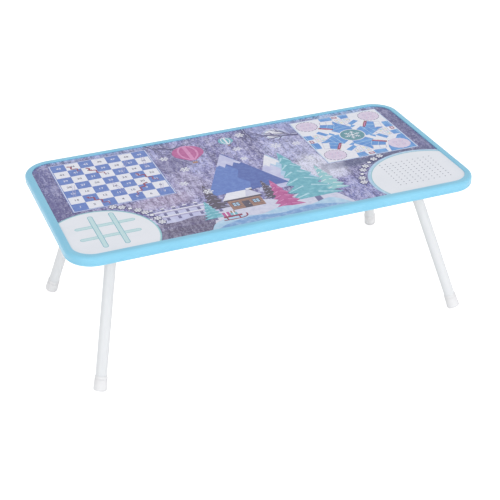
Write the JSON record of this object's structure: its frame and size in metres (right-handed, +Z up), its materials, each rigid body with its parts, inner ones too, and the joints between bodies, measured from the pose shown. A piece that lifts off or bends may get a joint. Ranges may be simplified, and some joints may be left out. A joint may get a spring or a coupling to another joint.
{
  "type": "folding games table",
  "caption": "Low rectangular folding games table with rounded corners, a moulded edge frame, a printed board of classic games and bent tube leg frames.",
  "frame": {"origin": "centre of the footprint, on the floor under the middle of the top", "axes": "+X along the top to its right end, +Y to the back edge, +Z up; the legs are open"},
  "size_m": [0.6, 0.304, 0.218],
  "materials": {
    "edge_plastic": "pale sky blue moulded plastic, satin",
    "printed_laminate": "printed and laminated sheet in lavender, purple and blue, soft gloss",
    "fibreboard": "plain pressed fibreboard",
    "backing_laminate": "plain off-white backing laminate",
    "tube_paint": "white powder coat on steel tube",
    "foot_plastic": "soft white plastic, satin",
    "clip_plastic": "white moulded plastic, satin",
    "screw_steel": "zinc plated steel"
  },
  "bodies": {
    "table_top": {"edge_frame": "edge_plastic", "play_sheet": "printed_laminate", "board_core": "fibreboard", "backing_sheet": "backing_laminate", "left_front_hinge_clip": "clip_plastic", "left_rear_hinge_clip": "clip_plastic", "right_front_hinge_clip": "clip_plastic", "right_rear_hinge_clip": "clip_plastic", "left_front_leg_stop": "clip_plastic", "left_rear_leg_stop": "clip_plastic", "right_front_leg_stop": "clip_plastic", "right_rear_leg_stop": "clip_plastic", "left_storage_clip": "clip_plastic", "right_storage_clip": "clip_plastic", "left_hinge_screws": "screw_steel", "right_hinge_screws": "screw_steel", "left_stop_screws": "screw_steel", "right_stop_screws": "screw_steel", "storage_clip_screws": "screw_steel"},
    "left_legs": {"left_leg_frame": "tube_paint", "left_front_foot": "foot_plastic", "left_rear_foot": "foot_plastic"},
    "right_legs": {"right_leg_frame": "tube_paint", "right_front_foot": "foot_plastic", "right_rear_foot": "foot_plastic"}
  },
  "joints": [
    {"name": "left_leg_fold", "type": "hinge", "parent": "table_top", "child": "left_legs", "pos_m": [-0.227, 0, 0.1932], "axis": [0, -1, 0], "range_deg": [0, 104.3]},
    {"name": "right_leg_fold", "type": "hinge", "parent": "table_top", "child": "right_legs", "pos_m": [0.227, 0, 0.1932], "axis": [0, 1, 0], "range_deg": [0, 104.3]}
  ]
}
